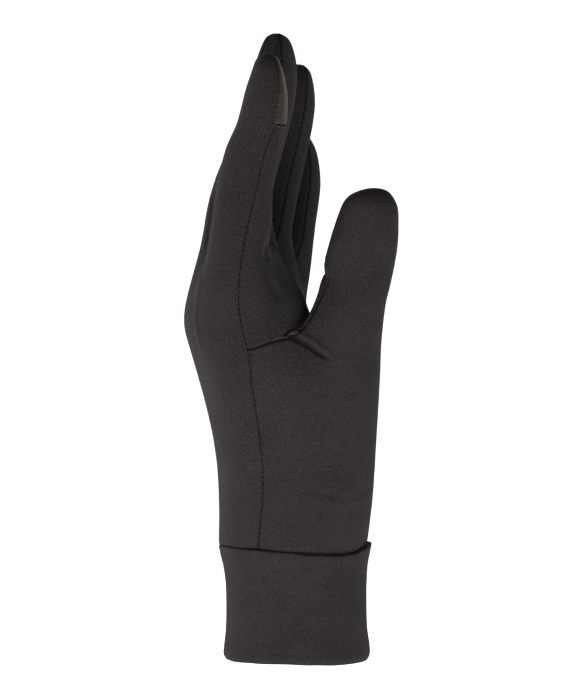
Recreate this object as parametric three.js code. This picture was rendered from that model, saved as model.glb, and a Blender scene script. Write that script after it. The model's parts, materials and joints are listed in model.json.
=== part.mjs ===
// A left-hand glove liner of thin stretch jersey, in the shape that it takes when it is worn.
// Fingers point up (+Z), the palm faces +X, the little finger is at +Y, and the thumb at -Y.
// The origin is the middle of the wrist opening. All sizes are in millimetres.
//
// The glove is cut and sewn from panels: a back panel and a palm panel that each run up all four
// fingers, three fourchettes between the fingers, a thumb panel that takes in the ball of the
// thumb, a fingertip patch on the index finger and a folded wrist band. One cage of quads carries
// all the panels, so that neighbours share their seam. It is subdivided into a smooth surface, and
// each panel becomes a wall of cloth under that surface, a sewing gap away from its neighbours.
import * as THREE from "three";

const CLOTH = 1.2; // one layer of jersey
const BAND_CLOTH = 2.4; // the wrist band is folded double
const SEAM_GAP = 0.4; // between the edges of two panels
const LEAST_MITRE = 0.06; // keeps the edge of a panel from leaping out at a sharp corner
const SUBDIVISIONS = 1;
const FIT_ROUNDS = 8; // corrections that bring the smooth surface onto the tables' sizes
const FULLNESS = 2.3; // exponent of a section's outline: 2 is an ellipse, more is boxier

// The hand between the wrist band and the fingers, a row for each section from the wrist up.
// back and front: where the middle of the back and of the palm lie along X; side: half the width.
// cup: how far the little finger's edge is drawn towards the palm.
// oval: 1 where the section still is the wrist's oval, 0 where it has the flat of the hand.
const HAND = [
  { z: 40.8, back: -29.3, front: 26.0, side: 30.3, cup: 0, oval: 1 },
  { z: 54.2, back: -29.1, front: 20.5, side: 31.2, cup: 1, oval: 0.75 },
  { z: 70.2, back: -29.9, front: 10.0, side: 33.4, cup: 3, oval: 0.35 },
  { z: 88.2, back: -33.0, front: 1.0, side: 36.6, cup: 7, oval: 0.1 },
  { z: 104.2, back: -37.1, front: -3.0, side: 39.4, cup: 10, oval: 0 },
  { z: 117, back: -41.0, front: -2.0, side: 41.0, cup: 12, oval: 0 },
  { z: 129.3, back: -42.0, front: 0.2, side: 41.5, cup: 12, oval: 0 },
];

// The cup starts at this place across the hand, where -1 is the thumb's side and 1 the other side.
const CUP = { from: -0.35, steepness: 1.5 };

// Angles of the columns round the flat of the hand: the palm from the middle finger's middle to
// the little finger, the hand's outer side, and the back. Every second one lies on a finger.
const PALM_ANGLES = [-14, 0, 14, 29, 46, 68];
const OUTER_ANGLE = 90;
const BACK_ANGLES = [112, 134, 151, 166, 180, 194, 209, 226, 248];
// The angles of the same columns round the wrist's oval.
const OVAL_ANGLES = { first: 25.5, step: 13.5 };

// The ball of the thumb beside those sections, up to the thumb's crotch: a part of an ellipse
// about (x, y) from angle first to angle last, in degrees, where 0 is +X and 90 is +Y.
// seam_x and seam_y: where the side seam runs; seam_z: how far it stands from the section's height.
const BALL = [
  { x: -1.3, y: 0, rx: 27.4, ry: 30.3, first: -82, last: -4, seam_x: -14.5, seam_y: -26.4, seam_z: 0 },
  { x: 4.5, y: -7, rx: 23.0, ry: 25.0, first: -84, last: 16, seam_x: -13.3, seam_y: -29.0, seam_z: 0 },
  { x: 10.5, y: -14.5, rx: 17.9, ry: 18.6, first: -87, last: 42, seam_x: -12.6, seam_y: -31.6, seam_z: 0 },
  { x: 14.4, y: -19.8, rx: 14.9, ry: 15.6, first: -90, last: 66, seam_x: -14.5, seam_y: -35.0, seam_z: 0 },
  { x: 16.4, y: -23.0, rx: 13.8, ry: 14.6, first: -90, last: 80, seam_x: -16.6, seam_y: -38.4, seam_z: -1.5 },
  { x: 17.4, y: -25.0, rx: 13.2, ry: 13.6, first: -90, last: 90, seam_x: -18.0, seam_y: -40.6, seam_z: -2.6 },
];

// How far the side of the hand stands out between the side seam and the ball of the thumb.
const SIDE_FULLNESS = { hand: 1, wrist: 2 };

// The web between thumb and palm at the last of those sections: its edge on the side of the hand,
// its crotch and its edge in the palm.
const THUMB_WEB = {
  side: [-1.0, -36.4, 119.6],
  crotch: [4.9, -27.0, 125.4],
  palm: [5.9, -12.5, 121.8],
};

// Above the web the palm is tented from its crotch to the middle finger. The side seam comes
// first, then the points of the last section of the hand up to the middle finger's column.
const TENT = [
  [-21.1, -41.0, 130.0],
  [-9.6, -38.6, 131.5],
  [1.7, -27.4, 133.6],
  [0.0, -19.5, 138.0],
  [0.6, -11.0, 135.0],
];

// Each finger, a row for each section from its base up: the middle of the section, half its depth
// from back to palm (deep) and half its width (wide). The tip is the last row, a point.
// radial and ulnar: the angles from the middle of the palm side at which its seams run. Where a
// row has a seam of its own, that is the angle of the only seam on the radial side.
const FINGERS = {
  index: {
    ulnar: { palm: 62, back: 132 },
    rows: [
      { z: 148.7, x: -21.2, y: -30.8, deep: 11.7, wide: 10.6, seam: 86 },
      { z: 160, x: -20.2, y: -31.6, deep: 10.9, wide: 9.9, seam: 80 },
      { z: 172, x: -19.2, y: -32.3, deep: 10.2, wide: 9.5, seam: 68 },
      { z: 184, x: -16.8, y: -33.0, deep: 9.7, wide: 9.3, seam: 66 },
      { z: 190.5, x: -14.6, y: -33.4, deep: 9.1, wide: 9.1, seam: 64 },
      { z: 197, x: -12.7, y: -33.7, deep: 8.7, wide: 8.8, seam: 62 },
      { z: 206.5, x: -11.4, y: -34.3, deep: 7.7, wide: 8.2, seam: 60 },
      { z: 214, x: -10.9, y: -34.7, deep: 5.9, wide: 7.0, seam: 60 },
      { z: 219.1, x: -11.0, y: -34.9, deep: 4.0, wide: 4.6, seam: 60 },
      { z: 221.3, x: -11.0, y: -35.0 },
    ],
  },
  middle: {
    radial: { palm: 78, back: 140 },
    ulnar: { palm: 60, back: 134 },
    rows: [
      { z: 150, x: -21.4, y: -10.2, deep: 14.8, wide: 10.4 },
      { z: 161, x: -21.4, y: -10.6, deep: 12.5, wide: 9.9 },
      { z: 172, x: -20.1, y: -11.0, deep: 11.1, wide: 9.6 },
      { z: 183, x: -16.6, y: -11.3, deep: 10.1, wide: 9.4 },
      { z: 194, x: -12.9, y: -11.6, deep: 9.3, wide: 9.1 },
      { z: 205, x: -10.0, y: -11.9, deep: 9.0, wide: 8.7 },
      { z: 214.5, x: -8.2, y: -12.2, deep: 8.1, wide: 8.0 },
      { z: 222, x: -7.6, y: -12.4, deep: 6.7, wide: 6.7 },
      { z: 227.6, x: -7.6, y: -12.5, deep: 4.3, wide: 4.4 },
      { z: 229.7, x: -7.6, y: -12.6 },
    ],
  },
  ring: {
    radial: { palm: 60, back: 134 },
    ulnar: { palm: 60, back: 134 },
    rows: [
      { z: 147.2, x: -12.6, y: 10.2, deep: 12.0, wide: 10.3 },
      { z: 159, x: -12.4, y: 10.8, deep: 10.8, wide: 9.7 },
      { z: 171, x: -10.0, y: 11.5, deep: 10.3, wide: 9.3 },
      { z: 183, x: -7.1, y: 12.2, deep: 10.0, wide: 9.1 },
      { z: 195, x: -3.9, y: 12.9, deep: 9.4, wide: 8.8 },
      { z: 205, x: -1.5, y: 13.5, deep: 8.4, wide: 8.2 },
      { z: 213, x: 0.0, y: 14.0, deep: 6.3, wide: 6.8 },
      { z: 218.1, x: 0.9, y: 14.2, deep: 3.6, wide: 4.2 },
      { z: 220.1, x: 1.0, y: 14.3 },
    ],
  },
  little: {
    radial: { palm: 60, back: 134 },
    ulnar: { palm: 90, back: 90 },
    rows: [
      { z: 141.2, x: -5.6, y: 29.6, deep: 10.3, wide: 9.8 },
      { z: 152, x: -3.7, y: 31.0, deep: 9.7, wide: 9.0 },
      { z: 163, x: -1.9, y: 32.3, deep: 9.2, wide: 8.5 },
      { z: 174, x: -0.1, y: 33.5, deep: 8.9, wide: 8.1 },
      { z: 182.5, x: 0.4, y: 34.4, deep: 8.0, wide: 7.5 },
      { z: 189.2, x: 0.5, y: 35.0, deep: 6.2, wide: 6.2 },
      { z: 193.8, x: 0.4, y: 35.2, deep: 3.4, wide: 3.8 },
      { z: 195.8, x: 0.5, y: 35.3 },
    ],
  },
};

// The thumb above its crotch, as a finger whose depth runs along X because it is turned sideways.
// A tongue of the palm panel runs up its inner side, between its seams at angles tongue and -tongue.
const THUMB = [
  { z: 134, x: 19.9, y: -28.6, deep: 12.8, wide: 11.8, tongue: 153 },
  { z: 139, x: 21.8, y: -29.7, deep: 11.9, wide: 11.3, tongue: 157 },
  { z: 144, x: 22.4, y: -30.8, deep: 12.2, wide: 10.8, tongue: 163 },
  { z: 154, x: 24.2, y: -32.8, deep: 12.1, wide: 10.1, tongue: 140 },
  { z: 162, x: 25.6, y: -34.0, deep: 11.0, wide: 9.2, tongue: 135 },
  { z: 167.8, x: 26.4, y: -34.8, deep: 9.5, wide: 7.8, tongue: 135 },
  { z: 171.2, x: 26.3, y: -35.1, deep: 6.6, wide: 5.4, tongue: 135 },
  { z: 173, x: 26.2, y: -35.2 },
];
const TONGUE = { rows: 3, columns: [3, 4] };

// The patch on the index finger covers its palm side from this row of its table to the tip.
const PATCH_FROM_ROW = 5;

// The web below two neighbouring fingers, from the index finger on: how far its points on the palm,
// in the middle and on the back are moved along X and up Z from halfway between the fingers.
const FINGER_WEBS = [
  { palm: [4.6, 3.6], middle: [1.0, 2.5], back: [0, 0] },
  { palm: [0, 0], middle: [0, 1.5], back: [0, 0] },
  { palm: [0, 0], middle: [0, 1.5], back: [0, 0] },
];

// The wrist band, a row for each section: its middle along X, half its extent along X and along Y.
const BAND_TOP = 40.4;
const BAND = [
  { z: 0.0, x: -0.3, rx: 26.4, ry: 28.8 },
  { z: 1.2, x: -0.3, rx: 27.1, ry: 29.5 },
  { z: 4.4, x: -0.2, rx: 27.1, ry: 29.6 },
  { z: 9, x: -0.3, rx: 26.5, ry: 29.2 },
  { z: 20.5, x: -0.4, rx: 26.1, ry: 28.9 },
  { z: 28, x: -0.5, rx: 26.3, ry: 29.1 },
  { z: 33.5, x: -0.7, rx: 26.9, ry: 29.6 },
  { z: 37, x: -0.8, rx: 27.7, ry: 30.3 },
  { z: BAND_TOP, x: -0.8, rx: 28.4, ry: 31.0 },
];
const BAND_SIDES = 48;
// How far the seam above the band and the band's hem rise at angles round them, as pairs of an
// angle in degrees and a height. Angle 0 is +X and -90 is the thumb's side.
const SEAM_RISE = [
  [-180, 0.1], [-150, 0.9], [-124, 0.9], [-98, 0.4], [-78, -0.7], [-58, -1.35],
  [-42, -1.2], [-28, -0.1], [-14, 1.0], [8, 1.1], [60, 0.2], [120, 0.0],
];
const HEM_RISE = [
  [-180, -1.1], [-150, -1.0], [-124, -0.5], [-98, -0.2], [-78, -0.6], [-58, -1.1],
  [-42, -1.25], [-20, -1.4], [20, -1.4], [60, -0.9], [120, -0.9],
];

const degrees = THREE.MathUtils.degToRad;
const lerp = THREE.MathUtils.lerp;

// The cosine or sine of an angle, filled out from an ellipse to a boxier outline.
function filled(value) {
  return Math.sign(value) * Math.abs(value) ** (2 / FULLNESS);
}

// The height at a place round the wrist, smoothly between the angles of a table.
function heightRound(rises, x, y) {
  const angle = THREE.MathUtils.radToDeg(Math.atan2(y, x));
  const table = [...rises, [rises[0][0] + 360, rises[0][1]]];
  const above = Math.max(1, table.findIndex(([at]) => at >= angle));
  const [low, from] = table[above - 1];
  const [high, to] = table[above];
  return lerp(from, to, THREE.MathUtils.smoothstep(angle, low, high));
}

// The cage: its points, the size that each has to reach, and its faces with their panels.
const cage = { targets: [], faces: [] };

function point(x, y, z) {
  cage.targets.push(new THREE.Vector3(x, y, z));
  return cage.targets.length - 1;
}

function middleOf(a, b, forward = 0, rise = 0) {
  const between = cage.targets[a].clone().lerp(cage.targets[b], 0.5);
  return point(between.x + forward, between.y, between.z + rise);
}

function face(panel, ...ids) {
  cage.faces.push({ ids, panel });
}

// A band of quads from one closed loop of points up to the next, with a panel for each column.
function joinLoops(below, above, panelOf) {
  below.forEach((id, k) => {
    const next = (k + 1) % below.length;
    face(panelOf(k), id, below[next], above[next], above[k]);
  });
}

// A point on a section of the hand. Only the lowest section follows the rise of the band's seam.
function onSection(row, x, y, z = row.z) {
  return point(x, y, row === HAND[0] ? z + heightRound(SEAM_RISE, x, y) : z);
}

// How far the cup has come at a place across the hand, from -1 on the thumb's side to 1.
function cupAt(across) {
  return Math.max(0, (across - CUP.from) / (1 - CUP.from)) ** CUP.steepness;
}

// A point of the hand's section at an angle: between the flat hand's outline and the wrist's oval.
function handPoint(row, angle, ovalAngle) {
  const half = (row.front - row.back) / 2;
  const across = filled(Math.sin(degrees(angle)));
  const flatX = row.back + half + half * filled(Math.cos(degrees(angle))) + row.cup * cupAt(across);
  const ovalHalf = (HAND[0].front - row.back) / 2;
  const ovalX = row.back + ovalHalf + ovalHalf * Math.cos(degrees(ovalAngle));
  const ovalY = row.side * Math.sin(degrees(ovalAngle));
  return onSection(row, lerp(flatX, ovalX, row.oval), lerp(row.side * across, ovalY, row.oval));
}

// The columns away from the thumb, from the middle finger's palm side round to its back and on
// to the index finger's back. The wrist's oval has them at even steps.
function farSide(row) {
  const angles = [...PALM_ANGLES, OUTER_ANGLE, ...BACK_ANGLES];
  return angles.map((angle, k) => handPoint(row, angle, OVAL_ANGLES.first + OVAL_ANGLES.step * k));
}

// A section below the thumb's crotch: side seam, web edge, five columns round the ball of the
// thumb, the web's palm edge, then the far side. Twenty-four points.
function ballLoop(row, ball) {
  const round = [0, 0.25, 0.5, 0.75, 1].map((part) => {
    const angle = degrees(lerp(ball.first, ball.last, part));
    return onSection(row, ball.x + ball.rx * Math.cos(angle), ball.y + ball.ry * Math.sin(angle));
  });
  const seam = onSection(row, ball.seam_x, ball.seam_y, row.z + ball.seam_z);
  const far = farSide(row);
  if (ball === BALL.at(-1)) {
    return [seam, point(...THUMB_WEB.side), ...round, point(...THUMB_WEB.palm), ...far];
  }
  // Below the web its two edges lie on the smooth way from the ball to the rest of the hand.
  const side = middleOf(seam, round[0]);
  cage.targets[side].y -= lerp(SIDE_FULLNESS.hand, SIDE_FULLNESS.wrist, row.oval);
  return [seam, side, ...round, middleOf(round[4], far[0]), ...far];
}

// The eight points of a finger's section, from the middle of the palm side round by the little
// finger's side. Its seams lie on points 1, 3, 5 and 7, or 2 or 6 where there is only one.
function seamAngles({ radial, ulnar }, { seam }) {
  const between = (a, b) => (a + b) / 2;
  const sides = (seams) =>
    seams.palm === seams.back
      ? [seams.palm / 2, seams.palm, between(seams.palm, 180)]
      : [seams.palm, between(seams.palm, seams.back), seams.back];
  const far = sides(ulnar);
  const near = sides(radial ?? { palm: seam, back: seam }).reverse();
  return [0, ...far, 180, ...near.map((angle) => -angle)];
}

// A section of a finger, square to the way that the finger runs there.
function ring(rows, k, angles) {
  const row = rows[k];
  const before = rows[Math.max(0, k - 1)];
  const after = rows[Math.min(rows.length - 1, k + 1)];
  const rise = after.z - before.z;
  const deepWay = new THREE.Vector3(1, 0, -(after.x - before.x) / rise).normalize();
  const wideWay = new THREE.Vector3(0, 1, -(after.y - before.y) / rise).normalize();
  return angles.map((angle) => {
    const p = new THREE.Vector3(row.x, row.y, row.z)
      .addScaledVector(deepWay, row.deep * filled(Math.cos(degrees(angle))))
      .addScaledVector(wideWay, row.wide * filled(Math.sin(degrees(angle))));
    return point(p.x, p.y, p.z);
  });
}

// Rings from a base loop up to the tip, closed by four quads round the tip's point. A seam on
// point 2 or 6 runs on to the tip between two triangles.
function growFinger(base, rows, anglesOf, panelOf) {
  let below = base;
  rows.slice(0, -1).forEach((row, k) => {
    const above = ring(rows, k, anglesOf(row));
    joinLoops(below, above, (column) => panelOf(column, k));
    below = above;
  });
  const end = rows.at(-1);
  const tip = point(end.x, end.y, end.z);
  const last = rows.length;
  for (const k of [7, 1, 3, 5]) {
    const [a, b, c] = [below[k], below[(k + 1) % 8], below[(k + 2) % 8]];
    const panels = [panelOf(k, last), panelOf((k + 1) % 8, last)];
    if (panels[0] === panels[1]) {
      face(panels[0], a, b, c, tip);
    } else {
      face(panels[0], a, b, tip);
      face(panels[1], b, c, tip);
    }
  }
}

// The panel of each of a finger's eight columns, from the middle of the palm side round.
const COLUMNS = {
  index: ["palm", "im", "im", "back", "back", "back", "palm", "palm"],
  middle: ["palm", "mr", "mr", "back", "back", "im", "im", "palm"],
  ring: ["palm", "rl", "rl", "back", "back", "mr", "mr", "palm"],
  little: ["palm", "palm", "back", "back", "back", "rl", "rl", "palm"],
};

// The columns of a section belong to the thumb panel, then to the palm panel, then to the back.
const BALL_COLUMNS = { thumb: 7, palm: 7 };
const HAND_COLUMNS = { thumb: 0, palm: 10 };

function columnPanel(columns) {
  return (k) => {
    if (k < columns.thumb) return "thumb";
    return k < columns.thumb + columns.palm ? "palm" : "back";
  };
}

function buildCage() {
  const loops = BALL.map((ball, k) => ballLoop(HAND[k], ball));
  loops.slice(1).forEach((above, k) => joinLoops(loops[k], above, columnPanel(BALL_COLUMNS)));

  // Above the crotch the thumb and the hand part: both hold the web's three points.
  const [seam, webSide, t1, t2, t3, t4, t5, webPalm, ...far] = loops.at(-1);
  const crotch = point(...THUMB_WEB.crotch);
  const thumbAngles = ({ tongue }) => [0, 45, 90, tongue, 180, -tongue, -90, -45];
  const thumbBase = [t3, t4, t5, webPalm, crotch, webSide, t1, t2];
  const onTongue = (column, row) => row < TONGUE.rows && TONGUE.columns.includes(column);
  growFinger(thumbBase, THUMB, thumbAngles, (...at) => (onTongue(...at) ? "palm" : "thumb"));

  const knuckles = HAND.at(-1);
  const knuckleLoop = [...TENT.map((p) => point(...p)), ...farSide(knuckles).slice(1)];
  const handPanel = columnPanel(HAND_COLUMNS);
  joinLoops([seam, webSide, crotch, webPalm, ...far], knuckleLoop, handPanel);

  // The base ring of each finger. Neighbours share the three points of the web between them.
  const names = Object.keys(FINGERS);
  const anglesOf = (name) => (row) => seamAngles(FINGERS[name], row);
  const bases = names.map((name) => ring(FINGERS[name].rows, 0, anglesOf(name)(FINGERS[name].rows[0])));
  FINGER_WEBS.forEach(({ palm, middle, back }, k) => {
    const [a, b] = [bases[k], bases[k + 1]];
    const shared = [
      [1, 7, palm],
      [2, 6, middle],
      [3, 5, back],
    ];
    for (const [onA, onB, moved] of shared) a[onA] = b[onB] = middleOf(a[onA], b[onB], ...moved);
  });
  const [i, m, r, l] = bases;
  const webLoop = [i[6], i[7], i[0], i[1], m[0], m[1], r[0], r[1], l[0], l[1],
    l[2], l[3], l[4], l[5], r[4], r[5], m[4], m[5], i[4], i[5]];
  joinLoops(knuckleLoop, webLoop, handPanel);

  names.forEach((name, k) => {
    const { rows } = FINGERS[name];
    const panelOf = (column, row) => {
      const panel = COLUMNS[name][column];
      return name === "index" && panel === "palm" && row >= PATCH_FROM_ROW ? "patch" : panel;
    };
    growFinger(bases[k], rows.slice(1), anglesOf(name), panelOf);
  });
}

// One Catmull-Clark step. The first points of the result are the old points, moved.
function subdivide(points, faces) {
  const centres = faces.map(({ ids }) => averageOf(ids.map((id) => points[id])));
  const edges = new Map();
  const edgeKey = (a, b) => (a < b ? a + "_" + b : b + "_" + a);
  faces.forEach(({ ids }, f) => {
    ids.forEach((a, k) => {
      const b = ids[(k + 1) % ids.length];
      const key = edgeKey(a, b);
      if (!edges.has(key)) edges.set(key, { ends: [a, b], faces: [] });
      edges.get(key).faces.push(f);
    });
  });
  const moved = points.map(() => ({ faces: [], middles: [], rim: [] }));
  faces.forEach(({ ids }, f) => ids.forEach((id) => moved[id].faces.push(centres[f])));
  const result = [...points];
  for (const edge of edges.values()) {
    const [a, b] = edge.ends;
    const middle = averageOf([points[a], points[b]]);
    const open = edge.faces.length === 1;
    edge.id = result.length;
    result.push(open ? middle : averageOf([points[a], points[b], ...edge.faces.map((f) => centres[f])]));
    for (const end of edge.ends) (open ? moved[end].rim : moved[end].middles).push(middle);
  }
  points.forEach((p, id) => {
    const { faces: around, middles, rim } = moved[id];
    if (rim.length) {
      result[id] = p.clone().multiplyScalar(0.5).addScaledVector(averageOf(rim), 0.5);
      return;
    }
    const n = around.length;
    result[id] = averageOf(around)
      .addScaledVector(averageOf(middles), 2)
      .addScaledVector(p, n - 3)
      .divideScalar(n);
  });
  const centreId = (f) => result.length + f;
  const finer = faces.flatMap(({ ids, panel }, f) =>
    ids.map((id, k) => {
      const before = ids[(k + ids.length - 1) % ids.length];
      const after = ids[(k + 1) % ids.length];
      const ahead = edges.get(edgeKey(id, after)).id;
      const behind = edges.get(edgeKey(before, id)).id;
      return { panel, ids: [id, ahead, centreId(f), behind] };
    }),
  );
  return { points: [...result, ...centres], faces: finer };
}

function subdivided(points, faces) {
  let surface = { points, faces };
  for (let k = 0; k < SUBDIVISIONS; k++) surface = subdivide(surface.points, surface.faces);
  return surface;
}

function averageOf(vectors) {
  const sum = new THREE.Vector3();
  vectors.forEach((v) => sum.add(v));
  return sum.divideScalar(vectors.length);
}

// Subdividing pulls a cage in, so its points are moved out until the fine ones meet the tables.
function fittedSurface() {
  const points = cage.targets.map((target) => target.clone());
  for (let round = 0; round < FIT_ROUNDS; round++) {
    const fine = subdivided(points, cage.faces);
    points.forEach((p, id) => p.add(cage.targets[id]).sub(fine.points[id]));
  }
  return subdivided(points, cage.faces);
}

function normalsOf({ points, faces }) {
  const normals = points.map(() => new THREE.Vector3());
  for (const { ids } of faces) {
    const [a, b, c, d] = ids.map((id) => points[id]);
    const across = new THREE.Vector3().subVectors(c, a).cross(new THREE.Vector3().subVectors(d, b));
    ids.forEach((id) => normals[id].add(across));
  }
  return normals.map((n) => n.normalize());
}

// The directed edges that a panel's faces don't share with each other, from a point to the next.
function rimOf(faces) {
  const inner = new Set();
  faces.forEach(({ ids }) => ids.forEach((a, k) => inner.add(a + "_" + ids[(k + 1) % ids.length])));
  const rim = [];
  for (const key of inner) {
    const [a, b] = key.split("_").map(Number);
    if (!inner.has(b + "_" + a)) rim.push([a, b]);
  }
  return rim;
}

// For each point on a panel's rim, a step along the cloth, away from the seam.
function insets(surface, normals, rim) {
  const steps = new Map();
  for (const [a, b] of rim) {
    const along = new THREE.Vector3().subVectors(surface.points[b], surface.points[a]).normalize();
    for (const id of [a, b]) {
      const inward = new THREE.Vector3().crossVectors(normals[id], along).normalize();
      steps.set(id, (steps.get(id) ?? new THREE.Vector3()).add(inward));
    }
  }
  for (const step of steps.values()) {
    // Two unit steps at a corner: their sum is scaled so that both edges move by half the gap.
    const reach = Math.max(step.lengthSq() / 2, LEAST_MITRE);
    step.multiplyScalar(SEAM_GAP / 2 / reach);
  }
  return steps;
}

// A panel as a closed wall: the smooth surface outside, the same points a cloth's thickness
// further in, and a narrow strip along its rim.
function panelGeometry(surface, normals, panel) {
  const faces = surface.faces.filter((f) => f.panel === panel);
  const rim = rimOf(faces);
  const steps = insets(surface, normals, rim);
  const outerId = new Map();
  const positions = [];
  for (const { ids } of faces) {
    for (const id of ids) {
      if (outerId.has(id)) continue;
      outerId.set(id, outerId.size);
      const outer = surface.points[id].clone();
      if (steps.has(id)) outer.add(steps.get(id));
      const inner = outer.clone().addScaledVector(normals[id], -CLOTH);
      positions.push(outer, inner);
    }
  }
  const outerOf = (id) => 2 * outerId.get(id);
  const innerOf = (id) => 2 * outerId.get(id) + 1;
  const triangles = [];
  for (const { ids } of faces) {
    for (const [a, b, c] of splitQuad(ids, surface.points)) {
      triangles.push(outerOf(a), outerOf(b), outerOf(c), innerOf(c), innerOf(b), innerOf(a));
    }
  }
  // The two walls along a seam are split the same way, so that they stay apart where it twists.
  for (const [a, b] of rim) {
    const corners = [outerOf(b), outerOf(a), innerOf(a), innerOf(b)];
    const order = a < b ? [0, 1, 2, 0, 2, 3] : [0, 1, 3, 1, 2, 3];
    triangles.push(...order.map((k) => corners[k]));
  }
  return indexedGeometry(positions, triangles);
}

// Two triangles, split along the shorter diagonal.
function splitQuad([a, b, c, d], points) {
  const acFirst = points[a].distanceTo(points[c]) <= points[b].distanceTo(points[d]);
  return acFirst
    ? [[a, b, c], [a, c, d]]
    : [[a, b, d], [b, c, d]];
}

function indexedGeometry(vectors, triangles) {
  const geometry = new THREE.BufferGeometry();
  const flat = new Float32Array(vectors.flatMap((v) => [v.x, v.y, v.z]));
  geometry.setAttribute("position", new THREE.BufferAttribute(flat, 3));
  geometry.setIndex(triangles);
  geometry.computeVertexNormals();
  return geometry;
}

// The wrist band: sections from the hem up the outside, then down the inside, closed on itself.
function bandGeometry() {
  const outside = BAND.map((row) => ({ ...row, inset: 0 }));
  const inside = BAND.map((row) => ({ ...row, inset: BAND_CLOTH })).reverse();
  inside.at(-1).inset = BAND_CLOTH - (BAND[1].rx - BAND[0].rx);
  const profile = [...outside, ...inside];
  const positions = [];
  for (const { z, x: middle, rx, ry, inset } of profile) {
    for (let k = 0; k < BAND_SIDES; k++) {
      const angle = (2 * Math.PI * k) / BAND_SIDES;
      const x = (rx - inset) * Math.cos(angle);
      const y = (ry - inset) * Math.sin(angle);
      const lift = lerp(heightRound(HEM_RISE, x, y), heightRound(SEAM_RISE, x, y), z / BAND_TOP);
      positions.push(new THREE.Vector3(middle + x, y, z + lift));
    }
  }
  const triangles = [];
  profile.forEach((_, p) => {
    for (let k = 0; k < BAND_SIDES; k++) {
      const next = (k + 1) % BAND_SIDES;
      const above = ((p + 1) % profile.length) * BAND_SIDES;
      const [a, b] = [p * BAND_SIDES + k, p * BAND_SIDES + next];
      const [c, d] = [above + next, above + k];
      triangles.push(a, b, c, a, c, d);
    }
  });
  return indexedGeometry(positions, triangles);
}

const jersey = new THREE.MeshStandardMaterial({ color: 0x36312f, roughness: 0.92, metalness: 0 });
const patchCloth = new THREE.MeshStandardMaterial({ color: 0x5a5148, roughness: 0.7, metalness: 0 });

const glove = new THREE.Group();

function addMesh(name, geometry, material) {
  const mesh = new THREE.Mesh(geometry, material);
  mesh.name = name;
  glove.add(mesh);
}

buildCage();
const surface = fittedSurface();
const normals = normalsOf(surface);

const PANELS = {
  back: "back_panel",
  palm: "palm_panel",
  thumb: "thumb_panel",
  im: "fourchette_index_middle",
  mr: "fourchette_middle_ring",
  rl: "fourchette_ring_little",
  patch: "fingertip_patch",
};
for (const [panel, name] of Object.entries(PANELS)) {
  const material = panel === "patch" ? patchCloth : jersey;
  addMesh(name, panelGeometry(surface, normals, panel), material);
}
addMesh("wrist_band", bandGeometry(), jersey);

export default glove;
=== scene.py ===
# A left-hand glove liner of thin stretch jersey, in the shape that it takes when it is worn.
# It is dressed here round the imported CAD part: same frame, metres, fingertips up (+Z), palm to +X,
# thumb towards the camera (-Y). Tables are in millimetres and are turned into metres at the end.
import json
import math
from collections import defaultdict

import bpy
import numpy as np
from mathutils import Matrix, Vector, noise
from mathutils.kdtree import KDTree

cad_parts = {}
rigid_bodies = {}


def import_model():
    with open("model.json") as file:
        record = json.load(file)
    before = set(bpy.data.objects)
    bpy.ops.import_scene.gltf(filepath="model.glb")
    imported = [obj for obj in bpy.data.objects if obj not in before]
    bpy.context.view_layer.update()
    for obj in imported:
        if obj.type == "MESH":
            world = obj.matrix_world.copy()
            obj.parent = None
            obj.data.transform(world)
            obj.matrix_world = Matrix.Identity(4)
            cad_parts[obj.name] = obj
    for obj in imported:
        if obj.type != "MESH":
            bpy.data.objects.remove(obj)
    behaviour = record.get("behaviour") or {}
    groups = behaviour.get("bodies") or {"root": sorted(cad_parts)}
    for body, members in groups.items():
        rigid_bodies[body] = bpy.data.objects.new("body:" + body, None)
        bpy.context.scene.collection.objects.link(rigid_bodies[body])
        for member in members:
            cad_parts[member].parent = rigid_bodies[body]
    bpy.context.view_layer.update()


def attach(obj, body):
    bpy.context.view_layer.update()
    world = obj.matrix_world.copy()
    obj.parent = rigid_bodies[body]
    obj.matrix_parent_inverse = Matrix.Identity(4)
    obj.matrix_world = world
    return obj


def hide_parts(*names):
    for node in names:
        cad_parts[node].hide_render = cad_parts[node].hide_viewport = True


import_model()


def table(names, rows):
    """The rows of a table as dicts, from the names of its columns. A short row lacks the last ones."""
    return [dict(zip(names.split(), row)) for row in rows]


MM = 0.001
LEVELS = 4  # subdivisions of the cage
FIT_LEVELS = 2
FIT_ROUNDS = 8
FULLNESS = 2.3  # exponent of a section's outline: 2 is an ellipse, more is boxier
CLOTH = 1.1  # wall thickness
SEAM_GAP = 0.08  # between the edges of two panels

# The hand between the wrist band and the fingers, a row for each section from the wrist up.
HAND = table("z back front side cup oval", [
    (40.8, -29.3, 26.0, 30.3, 0, 1),
    (54.2, -29.1, 20.5, 31.2, 1, 0.75),
    (70.2, -29.9, 10.0, 33.4, 3, 0.35),
    (88.2, -33.0, 1.0, 36.6, 7, 0.1),
    (104.2, -37.1, -3.0, 39.4, 10, 0),
    (117, -41.0, -3.0, 41.0, 13, 0),
    (129.3, -42.0, -2.4, 41.5, 15, 0),
])
CUP_FROM = -0.35
CUP_STEEPNESS = 1.5
PALM_ANGLES = [-14, 0, 14, 29, 46, 68]
OUTER_ANGLE = 90
BACK_ANGLES = [112, 134, 151, 166, 180, 194, 209, 226, 248]
OVAL_FIRST = 25.5
OVAL_STEP = 13.5

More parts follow.
